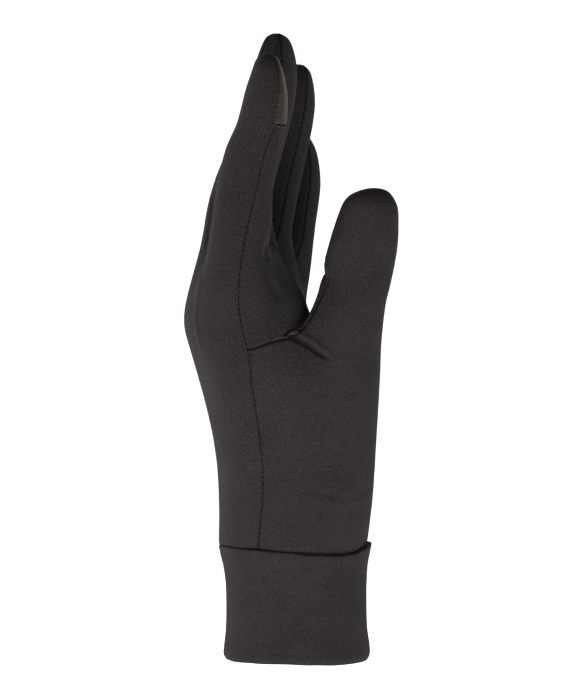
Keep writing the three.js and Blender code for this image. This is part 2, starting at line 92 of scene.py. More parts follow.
# The ball of the thumb beside those sections: a part of an ellipse, and where the side seam runs.
BALL = table("x y rx ry first last seam", [
    (-1.3, 0, 27.4, 30.3, -82, -4, (-14.5, -26.4, 0)),
    (4.5, -7, 23.0, 25.0, -84, 16, (-13.3, -29.0, 0)),
    (10.5, -14.5, 17.9, 18.6, -87, 42, (-12.6, -31.6, 0)),
    (14.4, -19.8, 14.9, 15.6, -90, 66, (-14.5, -35.0, 0)),
    (16.4, -23.0, 13.8, 14.6, -90, 80, (-16.6, -38.4, -1.5)),
    (17.4, -25.0, 13.2, 13.6, -90, 90, (-18.0, -40.6, -2.6)),
])
SIDE_FULLNESS = (1, 2)  # on the flat of the hand and at the wrist
WEB_SIDE = (-1.0, -36.4, 119.6)
WEB_CROTCH = (4.9, -27.0, 125.4)
WEB_PALM = (4.6, -13.0, 121.4)
TENT = [
    (-21.1, -41.0, 130.0),
    (-9.6, -38.6, 131.5),
    (1.7, -27.4, 133.4),
    (-1.0, -19.5, 137.6),
    (-3.4, -11.0, 135.0),
]

# Each finger, a row for each section from its base up, with half its depth and width; the tip is a
# point. The angles of its seams are measured from the middle of the palm side.
FINGERS = {
    "index": dict(ulnar=(62, 132), rows=[
        (148.7, -21.2, -30.8, 11.7, 10.6, 86),
        (160, -20.2, -31.6, 10.9, 9.9, 80),
        (172, -19.2, -32.3, 10.2, 9.5, 68),
        (184, -16.8, -33.0, 9.7, 9.3, 66),
        (190.5, -14.6, -33.4, 9.1, 9.1, 64),
        (197, -12.7, -33.7, 8.7, 8.8, 59),
        (206.5, -11.4, -34.3, 7.7, 8.2, 53),
        (214, -10.9, -34.7, 5.9, 7.0, 50),
        (219.1, -11.0, -34.9, 4.0, 4.6, 48),
        (221.3, -11.0, -35.0),
    ]),
    "middle": dict(radial=(78, 140), ulnar=(60, 134), rows=[
        (150, -21.4, -10.2, 14.8, 10.4),
        (161, -21.4, -10.6, 12.5, 9.9),
        (172, -20.1, -11.0, 11.1, 9.6),
        (183, -16.6, -11.3, 10.1, 9.4),
        (194, -12.9, -11.6, 9.3, 9.1),
        (205, -10.0, -11.9, 9.0, 8.7),
        (214.5, -8.2, -12.2, 8.1, 8.0),
        (222, -7.6, -12.4, 6.7, 6.7),
        (227.6, -7.6, -12.5, 4.3, 4.4),
        (229.7, -7.6, -12.6),
    ]),
    "ring": dict(radial=(60, 134), ulnar=(60, 134), rows=[
        (147.2, -12.6, 10.2, 12.0, 10.3),
        (159, -12.4, 10.8, 10.8, 9.7),
        (171, -10.0, 11.5, 10.3, 9.3),
        (183, -7.1, 12.2, 10.0, 9.1),
        (195, -3.9, 12.9, 9.4, 8.8),
        (205, -1.5, 13.5, 8.4, 8.2),
        (213, 0.0, 14.0, 6.3, 6.8),
        (217.6, 0.9, 14.2, 3.8, 4.2),
        (219.5, 1.0, 14.3),
    ]),
    "little": dict(radial=(60, 134), ulnar=(90, 90), rows=[
        (141.2, -5.6, 29.6, 10.3, 9.8),
        (152, -3.7, 31.0, 9.7, 9.0),
        (163, -1.9, 32.3, 9.2, 8.5),
        (174, -0.1, 33.5, 8.9, 8.1),
        (182.5, 0.4, 34.4, 8.0, 7.5),
        (189.2, 0.5, 35.0, 6.2, 6.2),
        (193.8, 0.4, 35.2, 3.4, 3.8),
        (195.8, 0.5, 35.3),
    ]),
}
for finger in FINGERS.values():
    finger["rows"] = table("z x y deep wide seam", finger["rows"])

# The thumb above its crotch; tongue is where the palm panel's tongue has its seams.
THUMB = table("z x y deep wide tongue", [
    (134, 20.1, -28.6, 12.4, 11.8, 153),
    (139, 21.8, -29.7, 11.7, 11.3, 157),
    (144, 22.3, -30.8, 12.3, 10.8, 163),
    (154, 24.2, -32.8, 12.1, 10.1, 140),
    (162, 25.6, -34.0, 11.0, 9.2, 135),
    (167.8, 26.4, -34.8, 9.5, 7.8, 135),
    (171.2, 26.3, -35.1, 6.6, 5.4, 135),
    (173, 26.2, -35.2),
])
TONGUE_ROWS = 3
TONGUE_COLUMNS = (3, 4)
PATCH_FROM_ROW = 5
# The web below two neighbouring fingers: how far its palm, middle and back points are moved along X
# and Z from the middle between the fingers.
WEBS = [
    dict(palm=(4.6, 3.6), middle=(1.0, 2.5), back=(0, 0)),
    dict(palm=(0, 0), middle=(0, 1.5), back=(0, 0)),
    dict(palm=(0, 0), middle=(0, 1.5), back=(0, 0)),
]

BAND_TOP = 40.4
BAND = table("z x rx ry", [
    (0.0, -0.3, 26.4, 28.8),
    (1.2, -0.3, 27.1, 29.5),
    (4.4, -0.2, 27.1, 29.6),
    (9, -0.3, 26.5, 29.2),
    (20.5, -0.4, 26.1, 28.9),
    (28, -0.5, 26.3, 29.1),
    (33.5, -0.7, 26.9, 29.6),
    (37, -0.8, 27.7, 30.3),
    (BAND_TOP, -0.8, 28.4, 31.0),
])
# How far the seam above the band rises at angles round it, where 0 is +X and -90 the thumb's side.
SEAM_RISE = [(-180, 0.1), (-150, 0.9), (-124, 0.9), (-98, 0.4), (-78, -0.7), (-58, -1.35), (-42, -1.2),
             (-28, -0.1), (-14, 1.0), (8, 1.1), (60, 0.2), (120, 0.0)]

# How far the band's hem lies from z = 0 at angles round it.
HEM_RISE = [(-180, -1.1), (-150, -1.0), (-124, -0.5), (-98, -0.2), (-78, -0.6), (-58, -1.1), (-42, -1.25),
            (-20, -1.4), (20, -1.4), (60, -0.9), (120, -0.9)]

PANEL_NODES = {
    "back": "back_panel",
    "palm": "palm_panel",
    "thumb": "thumb_panel",
    "im": "fourchette_index_middle",
    "mr": "fourchette_middle_ring",
    "rl": "fourchette_ring_little",
    "patch": "fingertip_patch",
}
PANELS = list(PANEL_NODES)


# The cage of quads that carries the panels.


def cos_of(angle):
    return math.cos(math.radians(angle))


def sin_of(angle):
    return math.sin(math.radians(angle))


def filled(value):
    return math.copysign(abs(value) ** (2 / FULLNESS), value)


def lerp(a, b, t):
    return a + (b - a) * t


def unit(vectors):
    return vectors / np.linalg.norm(vectors, axis=1)[:, None]


def arc_along(line):
    """The length along a line of places, at each of them."""
    return np.concatenate([[0], np.cumsum(np.linalg.norm(np.diff(line, axis=0), axis=1))])


def height_round(rises, x, y):
    """The height at a place round the wrist, smoothly between the angles of a table."""
    angle = math.degrees(math.atan2(y, x))
    first, last = rises[0], rises[-1]
    stops = [*rises, (first[0] + 360, first[1])]
    for (low, a), (high, b) in zip(stops, stops[1:]):
        if low <= angle <= high:
            t = (angle - low) / (high - low)
            return lerp(a, b, t * t * (3 - 2 * t))
    return last[1]


def seam_rise(x, y):
    return height_round(SEAM_RISE, x, y)


points = []
faces = []  # (panel, ids of the corners, uv of the corners)


def point(x, y, z):
    points.append(np.array([x, y, z], float))
    return len(points) - 1


def middle_of(a, b, forward=0.0, rise=0.0):
    between = (points[a] + points[b]) / 2
    return point(between[0] + forward, between[1], between[2] + rise)


class Loop:
    """A closed loop of cage points, with its length round from the first point and its height."""

    def __init__(self, ids, below=None):
        self.ids = ids
        places = np.array([points[i] for i in ids + ids[:1]])
        self.arc = arc_along(places)
        self.height = 0.0
        if below is not None:
            old = np.array([points[i] for i in below.ids])
            self.height = below.height + np.linalg.norm(places[:-1] - old, axis=1).mean()

    def uv(self, column, middle, shift):
        count = len(self.ids)
        turns, place = divmod(column, count)
        u = self.arc[place] + turns * self.arc[-1] - self.arc[middle]
        if column - middle > count / 2:
            u -= self.arc[-1]
        elif column - middle < -count / 2:
            u += self.arc[-1]
        return (u + shift, self.height)


def join_loops(below, above, panel_of, middles, shifts):
    count = len(below.ids)
    for k in range(count):
        panel = panel_of(k)
        middle = middles.get(panel, 0)
        shift = shifts.get(panel, 0.0)
        after = (k + 1) % count
        ids = [below.ids[k], below.ids[after], above.ids[after], above.ids[k]]
        uvs = [loop.uv(column, middle, shift)
               for loop, column in ((below, k), (below, k + 1), (above, k + 1), (above, k))]
        faces.append((panel, ids, uvs))


def on_section(row, x, y, z=None):
    z = row["z"] if z is None else z
    return point(x, y, z + seam_rise(x, y) if row is HAND[0] else z)


def cup_at(across):
    return max(0.0, (across - CUP_FROM) / (1 - CUP_FROM)) ** CUP_STEEPNESS


def hand_point(row, angle, oval_angle):
    half = (row["front"] - row["back"]) / 2
    across = filled(sin_of(angle))
    flat_x = row["back"] + half + half * filled(cos_of(angle)) + row["cup"] * cup_at(across)
    oval_half = (HAND[0]["front"] - row["back"]) / 2
    oval_x = row["back"] + oval_half + oval_half * cos_of(oval_angle)
    y = lerp(row["side"] * across, row["side"] * sin_of(oval_angle), row["oval"])
    return on_section(row, lerp(flat_x, oval_x, row["oval"]), y)


def far_side(row):
    angles = [*PALM_ANGLES, OUTER_ANGLE, *BACK_ANGLES]
    return [hand_point(row, angle, OVAL_FIRST + OVAL_STEP * k) for k, angle in enumerate(angles)]


def ball_loop(row, ball):
    around = []
    for part in (0, 0.25, 0.5, 0.75, 1):
        angle = lerp(ball["first"], ball["last"], part)
        around.append(on_section(row, ball["x"] + ball["rx"] * cos_of(angle),
                                 ball["y"] + ball["ry"] * sin_of(angle)))
    seam_x, seam_y, seam_z = ball["seam"]
    seam = on_section(row, seam_x, seam_y, row["z"] + seam_z)
    far = far_side(row)
    if ball is BALL[-1]:
        return [seam, point(*WEB_SIDE), *around, point(*WEB_PALM), *far]
    side = middle_of(seam, around[0])
    points[side][1] -= lerp(*SIDE_FULLNESS, row["oval"])
    return [seam, side, *around, middle_of(around[4], far[0]), *far]


def seam_angles(finger, row):
    def sides(palm, back):
        if palm == back:
            return [palm / 2, palm, (palm + 180) / 2]
        return [palm, (palm + back) / 2, back]

    far = sides(*finger["ulnar"])
    near = sides(*finger.get("radial", (row.get("seam"), row.get("seam"))))[::-1]
    return [0, *far, 180, *[-angle for angle in near]]


def ring(rows, k, angles):
    row = rows[k]
    before = rows[max(0, k - 1)]
    after = rows[min(len(rows) - 1, k + 1)]
    rise = after["z"] - before["z"]
    deep_way = np.array([1, 0, -(after["x"] - before["x"]) / rise])
    wide_way = np.array([0, 1, -(after["y"] - before["y"]) / rise])
    deep_way /= np.linalg.norm(deep_way)
    wide_way /= np.linalg.norm(wide_way)
    ids = []
    for angle in angles:
        p = np.array([row["x"], row["y"], row["z"]], float)
        p += deep_way * row["deep"] * filled(cos_of(angle))
        p += wide_way * row["wide"] * filled(sin_of(angle))
        ids.append(point(*p))
    return ids


RING_SIDES = 8  # points round a finger or the thumb
TIP_STARTS = (7, 1, 3, 5)  # where the four faces round a tip start
FINGER_MIDDLES = {"palm": 0, "patch": 0, "im": 2, "mr": 2, "rl": 2, "back": 4}


def grow_finger(base, rows, angles_of, panel_of, middles, shifts):
    """The loops of a finger up from its base, closed by four faces round the tip."""
    below = base
    for k in range(len(rows) - 1):
        above = Loop(ring(rows, k, angles_of(rows[k])), below)
        join_loops(below, above, lambda column: panel_of(column, k), middles, shifts)
        below = above
    end = rows[-1]
    tip = point(end["x"], end["y"], end["z"])
    top = below.height + np.mean([np.linalg.norm(points[i] - points[tip]) for i in below.ids])
    for k in TIP_STARTS:
        first, second = (panel_of((k + step) % RING_SIDES, len(rows)) for step in (0, 1))
        parts = [(first, (0, 1, 2))] if first == second else [(first, (0, 1)), (second, (1, 2))]
        for panel, steps in parts:
            middle, shift = middles.get(panel, 0), shifts.get(panel, 0.0)
            ids = [below.ids[(k + step) % RING_SIDES] for step in steps]
            uvs = [below.uv(k + step, middle, shift) for step in steps]
            uvs.append((below.uv(k + 1, middle, shift)[0], top))
            faces.append((panel, [*ids, tip], wrapped(uvs, below)))


def wrapped(uvs, loop):
    """The same corners, each moved by whole turns of the loop to lie next to the first one."""
    turn = loop.arc[-1]
    first = uvs[0][0]
    return [(u - turn * round((u - first) / turn), v) for u, v in uvs]


COLUMNS = {
    "index": "palm im im back back back palm palm".split(),
    "middle": "palm mr mr back back im im palm".split(),
    "ring": "palm rl rl back back mr mr palm".split(),
    "little": "palm palm back back back rl rl palm".split(),
}


def column_panel(thumb, palm):
    return lambda k: "thumb" if k < thumb else "palm" if k < thumb + palm else "back"


def build_cage():
    ball_panel = column_panel(thumb=7, palm=7)
    ball_middles = {"thumb": 3, "palm": 10, "back": 19}
    below = None
    for row, ball in zip(HAND, BALL):
        loop = Loop(ball_loop(row, ball), below)
        if below is not None:
            join_loops(below, loop, ball_panel, ball_middles, {})
        below = loop

    seam, web_side, t1, t2, t3, t4, t5, web_palm, *far = below.ids
    crotch = point(*WEB_CROTCH)
    thumb_base = Loop([t3, t4, t5, web_palm, crotch, web_side, t1, t2])
    thumb_base.height = below.height
    shift = below.uv(4, ball_middles["thumb"], 0)[0]

    def thumb_angles(row):
        return [0, 45, 90, row["tongue"], 180, -row["tongue"], -90, -45]

    def thumb_panel(column, row):
        return "palm" if row < TONGUE_ROWS and column in TONGUE_COLUMNS else "thumb"

    grow_finger(thumb_base, THUMB, thumb_angles, thumb_panel, {"thumb": 0, "palm": 4}, {"thumb": shift})

    hand_panel = column_panel(thumb=0, palm=10)
    hand_middles = {"palm": 6, "back": 15}
    knuckle_base = Loop([seam, web_side, crotch, web_palm, *far])
    knuckle_base.height = below.height
    knuckles = Loop([*[point(*p) for p in TENT], *far_side(HAND[-1])[1:]], knuckle_base)
    join_loops(knuckle_base, knuckles, hand_panel, hand_middles, {})

    names = list(FINGERS)
    bases = []
    for name in names:
        rows = FINGERS[name]["rows"]
        bases.append(ring(rows, 0, seam_angles(FINGERS[name], rows[0])))
    for a, b, web in zip(bases, bases[1:], WEBS):
        for on_a, on_b, place in ((1, 7, "palm"), (2, 6, "middle"), (3, 5, "back")):
            a[on_a] = b[on_b] = middle_of(a[on_a], b[on_b], *web[place])
    i, m, r, l = bases
    web = [i[6], i[7], i[0], i[1], m[0], m[1], r[0], r[1], l[0], l[1],
           l[2], l[3], l[4], l[5], r[4], r[5], m[4], m[5], i[4], i[5]]
    web_loop = Loop(web, knuckles)
    join_loops(knuckles, web_loop, hand_panel, hand_middles, {})

    for name, ids in zip(names, bases):
        finger = FINGERS[name]
        base = Loop(ids)
        base.height = web_loop.height
        shifts = {
            "palm": web_loop.uv(web.index(ids[0]), hand_middles["palm"], 0)[0],
            "back": web_loop.uv(web.index(ids[4]), hand_middles["back"], 0)[0],
        }
        shifts["patch"] = shifts["palm"]

        def panel_of(column, row):
            panel = COLUMNS[name][column]
            return "patch" if name == "index" and panel == "palm" and row >= PATCH_FROM_ROW else panel

        middles = dict(FINGER_MIDDLES)
        for column, panel in enumerate(COLUMNS[name]):
            if panel in ("im", "mr", "rl") and column > 4:
                middles[panel] = 6
        grow_finger(base, finger["rows"][1:], lambda row: seam_angles(finger, row),
                    panel_of, middles, shifts)


# Subdivision of a surface of polygons, kept as flat arrays with one entry for each corner.


class Surface:
    def __init__(self, points, vert, face, panel, uv):
        self.points = points
        self.vert = vert
        self.face = face
        self.panel = panel
        self.uv = uv
        count = len(vert)
        order = np.arange(count)
        first = np.searchsorted(face, np.arange(face[-1] + 1))
        last = np.append(first[1:], count) - 1
        self.after = order + 1
        self.after[last] = first
        self.before = order - 1
        self.before[first] = last

    def edges(self):
        """The edges' two ends, and for each corner the edge that leaves it."""
        a = self.vert
        b = self.vert[self.after]
        key = np.minimum(a, b) * len(self.points) + np.maximum(a, b)
        unique, edge = np.unique(key, return_inverse=True)
        ends = np.stack([unique // len(self.points), unique % len(self.points)], axis=1)
        return ends, edge


def summed(index, values, count):
    return np.stack([np.bincount(index, values[:, k], count) for k in range(values.shape[1])], axis=1)


def counted(index, count):
    return np.bincount(index, minlength=count)[:, None]


def subdivide(s):
    """One Catmull-Clark step. The first points of the result are the old points, moved."""
    face_count = s.face[-1] + 1
    point_count = len(s.points)
    size = counted(s.face, face_count)
    centres = summed(s.face, s.points[s.vert], face_count) / size
    ends, edge = s.edges()
    middles = s.points[ends].mean(axis=1)
    sides = summed(edge, centres[s.face], len(ends))
    is_open = np.bincount(edge, minlength=len(ends)) == 1
    edge_points = np.where(is_open[:, None], middles, (2 * middles + sides) / 4)

    def gathered(chosen):
        """The sum of the chosen edges' middles at each point, and their number there."""
        at = ends[chosen].ravel()
        return summed(at, np.repeat(middles[chosen], 2, axis=0), point_count), counted(at, point_count)

    around = summed(s.vert, centres[s.face], point_count)
    n = counted(s.vert, point_count)
    spokes, spoke_count = gathered(~is_open)
    rim, rim_count = gathered(is_open)
    inner = (around / n + 2 * spokes / np.maximum(spoke_count, 1) + (n - 3) * s.points) / n
    outer = s.points / 2 + rim / np.maximum(rim_count, 1) / 2
    moved = np.where(rim_count > 0, outer, inner)

    quads = np.stack([
        s.vert,
        point_count + edge,
        point_count + len(ends) + s.face,
        point_count + edge[s.before],
    ], axis=1)
    uv_centres = summed(s.face, s.uv, face_count) / size
    uvs = np.stack([
        s.uv,
        (s.uv + s.uv[s.after]) / 2,
        uv_centres[s.face],
        (s.uv + s.uv[s.before]) / 2,
    ], axis=1)
    return Surface(
        np.concatenate([moved, edge_points, centres]),
        quads.ravel(),
        np.repeat(np.arange(len(quads)), 4),
        s.panel[s.face],
        uvs.reshape(-1, 2),
    )


def subdivided(s, levels):
    for _ in range(levels):
        s = subdivide(s)
    return s


def fitted_surface():
    """The smooth surface, from a cage whose points are moved out until it meets the tables."""
    targets = np.array(points)
    vert = np.concatenate([ids for _, ids, _ in faces])
    face = np.concatenate([[k] * len(ids) for k, (_, ids, _) in enumerate(faces)])
    panel = np.array([PANELS.index(panel) for panel, _, _ in faces])
    uv = np.concatenate([uvs for _, _, uvs in faces])
    moved = targets.copy()
    for _ in range(FIT_ROUNDS):
        fine = subdivided(Surface(moved, vert, face, panel, uv), FIT_LEVELS)
        moved = moved + targets - fine.points[: len(targets)]
    return subdivided(Surface(moved, vert, face, panel, uv), LEVELS)


def normals_of(s):
    quads = s.vert.reshape(-1, 4)
    a, b, c, d = (s.points[quads[:, k]] for k in range(4))
    across = np.cross(c - a, d - b)
    normals = summed(s.vert, np.repeat(across, 4, axis=0), len(s.points))
    return unit(normals)


def refined(s, chosen):
    """The surface with the chosen faces split in four, and its normals. A face beside a split one
    keeps its size and takes the new points on the edges that they share."""
    fine = subdivide(s)
    fine_normals = normals_of(fine)
    ends, edge = s.edges()
    on_chosen = chosen[s.face]
    is_split = np.zeros(len(ends), bool)
    is_split[edge[on_chosen]] = True
    kept = np.nonzero(~on_chosen)[0]
    between = np.nonzero(~on_chosen & is_split[edge])[0]
    order = np.argsort(np.concatenate([2 * kept, 2 * between + 1]))
    vert = np.concatenate([s.vert[kept], len(s.points) + edge[between]])[order]
    uv = np.concatenate([s.uv[kept], (s.uv[between] + s.uv[s.after[between]]) / 2])[order]
    face = np.concatenate([s.face[kept], s.face[between]])[order]
    kept_faces, face = np.unique(face, return_inverse=True)
    quads = fine.vert.reshape(-1, 4)[on_chosen]
    quad_faces = len(kept_faces) + np.repeat(np.arange(len(quads)), 4)
    used, vert = np.unique(np.concatenate([vert, quads.ravel()]), return_inverse=True)
    made = Surface(
        fine.points[used],
        vert,
        np.concatenate([face, quad_faces]),
        np.concatenate([s.panel[kept_faces], s.panel[s.face[on_chosen]]]),
        np.concatenate([uv, fine.uv.reshape(-1, 4, 2)[on_chosen].reshape(-1, 2)]),
    )
    return made, fine_normals[used]


# Seams: the lines of the surface on which two panels meet.


def seam_chains(s):
    """The seams as chains of points, with the two panels that meet there."""
    ends, edge = s.edges()
    corner_panel = s.panel[s.face]
    order = np.argsort(edge, kind="stable")
    starts = np.searchsorted(edge[order], np.arange(len(ends)))
    stops = np.append(starts[1:], len(order))
    seams = defaultdict(list)
    first = corner_panel[order[starts]]
    last = corner_panel[order[stops - 1]]
    for k in np.nonzero(first != last)[0]:
        pair = tuple(sorted((PANELS[first[k]], PANELS[last[k]])))
        seams[pair].append(tuple(ends[k]))
    chains = []
    for pair, pieces in seams.items():
        chains += [(pair, chain) for chain in joined(pieces)]
    return chains


def joined(pieces):
    """Chains of neighbouring points, from pieces that each join two points."""
    near = defaultdict(list)
    for a, b in pieces:
        near[a].append(b)
        near[b].append(a)
    starts = [p for p in sorted(near) if len(near[p]) != 2] + sorted(near)
    used = set()
    chains = []
    for start in starts:
        for step in near[start]:
            if (start, step) in used:
                continue
            chain = [start]
            here, ahead = start, step
            while True:
                used.update([(here, ahead), (ahead, here)])
                chain.append(ahead)
                if len(near[ahead]) != 2 or ahead == start:
                    break
                onward = [p for p in near[ahead] if (ahead, p) not in used]
                if not onward:
                    break
                here, ahead = ahead, onward[0]
            chains.append(chain)
    return chains


def resampled(line, step):
    """Points at even steps along a line of points, with their distance from its start."""
    arc = arc_along(line)
    count = max(2, int(round(arc[-1] / step)) + 1)
    at = np.linspace(0, arc[-1], count)
    return np.stack([np.interp(at, arc, line[:, k]) for k in range(line.shape[1])], axis=1), at


# How each seam looks: the groove's depth and width, the swelling beside it, and how much it puckers.
SEAM_SAMPLE = 0.2
SHOULDER = dict(at=1.2, width=0.7)
PUCKER = dict(pitch=3.4, reach=2.6, phase=0.37)
SEAM_LOOKS = {
    "side": dict(groove=0.20, width=0.34, swell=0.05, pucker=0.05),
    "thumb": dict(groove=0.75, width=0.34, swell=0.10, pucker=0.04),
    "finger": dict(groove=0.50, width=0.36, swell=0.08, pucker=0.05),
    "patch": dict(groove=0.22, width=0.30, swell=0.04, pucker=0.03),
}
SEAM_CALM = 1.5  # how far from a seam its thread keeps the cloth even
# The thumb's seam is drawn in less where it turns over the inner side of the thumb.
THUMB_SEAM_FADE = dict(start=129.0, end=143.0, least=0.1)


def seam_draw(look, z):
    if look != "thumb":
        return 1.0
    passed = (z - THUMB_SEAM_FADE["start"]) / (THUMB_SEAM_FADE["end"] - THUMB_SEAM_FADE["start"])
    return lerp(1.0, THUMB_SEAM_FADE["least"], min(1.0, max(0.0, passed)))


def seam_look(pair):
    if "patch" in pair:
        return "patch"
    if pair == ("palm", "thumb"):
        return "thumb"
    return "side" if pair in (("back", "palm"), ("back", "thumb")) else "finger"


def nearest_seams(s, chains):
    """For each point of the surface how far the nearest seam is, where along it, and which it is."""
    lines = [resampled(s.points[chain], SEAM_SAMPLE) for _, chain in chains]
    places = np.concatenate([line for line, _ in lines])
    along = np.concatenate([at for _, at in lines])
    kinds = np.concatenate([np.full(len(line), kind) for kind, (line, _) in enumerate(lines)])
    tree = KDTree(len(places))
    for k, p in enumerate(places):
        tree.insert(p, k)
    tree.balance()
    found = [tree.find(p) for p in s.points]
    nearest = np.array([k for _, k, _ in found])
    return np.array([d for _, _, d in found]), along[nearest], kinds[nearest]


def bell(distance, width):
    return np.exp(-((distance / width) ** 2))


def seam_relief(s, chains, distance, along, kinds):
    """How far the cloth stands up or sinks beside its seams."""
    names = [seam_look(pair) for pair, _ in chains]
    groove, width, swell, pucker = (
        np.array([SEAM_LOOKS[name][key] for name in names])[kinds]
        for key in ("groove", "width", "swell", "pucker")
    )
    groove = groove * [seam_draw(names[kind], z) for kind, z in zip(kinds, s.points[:, 2])]
    dip = bell(distance, width)
    wave = np.sin(2 * math.pi * (along / PUCKER["pitch"] + PUCKER["phase"] * kinds))
    return (
        swell * bell(distance - SHOULDER["at"], SHOULDER["width"])
        + pucker * wave * bell(distance, PUCKER["reach"]) * (1 - dip)
        - groove * dip
    )


# Folds of the cloth: a line of places on the surface and how deep and wide the cloth sinks along
# it, or stands up where depth is negative. A lip is a second, raised line beside it, to the left of
# the line's way as seen from outside where at is positive. fade is the length of its ends.
FOLDS = [
    dict(  # the pinched fold below the thumb's crotch
        line=[(-3.5, -37.0, 119.6), (-0.2, -36.6, 118.7), (1.9, -37.2, 117.5), (4.1, -37.6, 116.4),
              (5.9, -37.9, 115.0), (8.0, -38.2, 113.4), (10.9, -38.4, 111.8), (13.0, -38.3, 111.1)],
        depth=2.3, width=0.85, lip=dict(height=0.5, at=1.9, width=1.2), fade=(1.0, 8.0)),
    dict(  # the hook of cloth above it
        line=[(-5.3, -37.6, 119.5), (-4.3, -37.1, 120.3), (-3.2, -36.4, 121.6), (-1.2, -35.6, 122.1),
              (0.4, -35.5, 122.0), (1.2, -36.1, 121.4)],
        depth=1.2, width=0.36, lip=dict(height=0.25, at=-1.0, width=0.55), fade=(1.0, 1.0)),
    dict(  # from the hook up into the crotch
        line=[(4.7, -33.0, 128.5), (3.2, -34.1, 126.1), (1.9, -34.8, 124.1), (0.9, -35.4, 122.5)],
        depth=0.45, width=0.45, lip=dict(height=0.2, at=1.0, width=0.7), fade=(1.0, 1.5)),
    dict(  # the ridge of the tented cloth, from the crotch to the middle finger
        line=[(-9.5, -15.2, 154.0), (-6.3, -13.9, 148.2), (-3.0, -23.0, 141.9), (-1.5, -25.3, 139.2),
              (-0.1, -26.3, 136.9), (1.4, -26.5, 134.4), (2.9, -26.7, 131.8), (4.3, -27.0, 128.6)],
        depth=-0.5, width=0.8, lip=dict(height=-0.35, at=2.2, width=1.5), fade=(2.0, 2.0)),
    dict(  # the ridge that the knuckle of the index finger makes on the back of the hand
        line=[(-34.3, -24.0, 143.6), (-34.9, -30.6, 139.2), (-35.6, -31.0, 134.8), (-36.3, -30.7, 130.8),
              (-36.1, -31.4, 125.0), (-35.2, -31.8, 118.0), (-34.0, -31.3, 111.5)],
        depth=-0.55, width=2.0, fade=(5.0, 7.0)),
    dict(  # where the backs of the index and the middle finger meet
        line=[(-30.7, -15.2, 172.3), (-31.7, -16.5, 163.2), (-32.7, -16.0, 155.9), (-33.5, -17.2, 149.7)],
        depth=0.6, width=0.6, lip=dict(height=0.25, at=-1.4, width=0.9), fade=(5.0, 3.0)),
    dict(  # the edge of the index finger, running out below its root
        line=[(-9.2, -32.0, 156.2), (-9.7, -34.5, 150.4), (-9.7, -35.8, 144.8), (-9.2, -35.9, 143.0),
              (-6.3, -35.1, 136.9), (-3.5, -34.0, 132.5)],
        depth=-0.3, width=1.2, lip=dict(height=-0.8, at=-2.6, width=2.0), fade=(8.0, 6.0)),
    dict(  # a soft wrinkle low on the ball of the thumb
        line=[(-4.6, -32.5, 63.1), (0.9, -33.2, 63.3), (6.3, -33.0, 63.1), (9.9, -32.4, 62.7),
              (12.8, -31.5, 61.5), (15.7, -30.3, 60.9), (18.7, -28.4, 60.5), (23.1, -24.2, 61.7),
              (26.9, -16.8, 63.3)],
        depth=0.35, width=1.0, lip=dict(height=0.25, at=-2.0, width=1.6), fade=(9.0, 5.0)),
]


def distances_to(line, places, ups):
    """How far places lie from a line, on which side of it, and how far along it."""
    line = np.array(line, float)
    best = np.full(len(places), np.inf)
    side = np.zeros(len(places))
    along = np.zeros(len(places))
    start = 0.0
    for a, b in zip(line, line[1:]):
        way = b - a
        length = np.linalg.norm(way)
        way /= length
        t = np.clip((places - a) @ way, 0, length)
        offset = places - (a + t[:, None] * way)
        distance = np.linalg.norm(offset, axis=1)
        nearer = distance < best
        best[nearer] = distance[nearer]
        turned = np.cross(ups, way)
        side[nearer] = np.sign((offset * turned).sum(1))[nearer]
        along[nearer] = (start + t)[nearer]
        start += length
    return best, side, along, start


HEM_TUCK = dict(depth=0.35, height=2.0)


def hem_tuck(s):
    """How far the cloth of the hand draws in just above the band."""
    low = np.nonzero(s.points[:, 2] < HAND[0]["z"] + 2 * HEM_TUCK["height"])[0]
    tuck = np.zeros(len(s.points))
    for k in low:
        x, y, z = s.points[k]
        above = max(0.0, z - HAND[0]["z"] - seam_rise(x, y)) / HEM_TUCK["height"]
        tuck[k] = HEM_TUCK["depth"] * max(0.0, 1 - above) ** 2
    return tuck


def fold_relief(s, normals):
    relief = np.zeros(len(s.points))
    for fold in FOLDS:
        d, side, along, length = distances_to(fold["line"], s.points, normals)
        first, last = fold["fade"]
        strength = np.clip(along / first, 0, 1) * np.clip((length - along) / last, 0, 1)
        strength = strength * strength * (3 - 2 * strength)
        relief -= fold["depth"] * strength * bell(d, fold["width"])
        if "lip" in fold:
            lip = fold["lip"]
            relief += lip["height"] * strength * bell(d * side - lip["at"], lip["width"])
    return relief


# The unevenness of cloth that is stretched over a hand: how high its waves are, how long, how much
# closer they lie along X, Y and Z, and where in the noise they start.
UNEVEN = [
    dict(height=0.16, length=15.0, closer=(1.0, 1.0, 0.6), start=(0, 0, 0)),
    dict(height=0.05, length=5.5, closer=(1.2, 1.2, 1.0), start=(7, 3, 1)),
]


def cloth_relief(s):
    relief = np.zeros(len(s.points))
    for wave in UNEVEN:
        start = Vector(wave["start"])
        for k, p in enumerate(s.points * wave["closer"]):
            relief[k] += wave["height"] * noise.noise(Vector(p) / wave["length"] + start)
    return relief


# Meshes.


def placed(name, data):
    made = bpy.data.objects.new(name, data)
    bpy.context.scene.collection.objects.link(made)
    return made


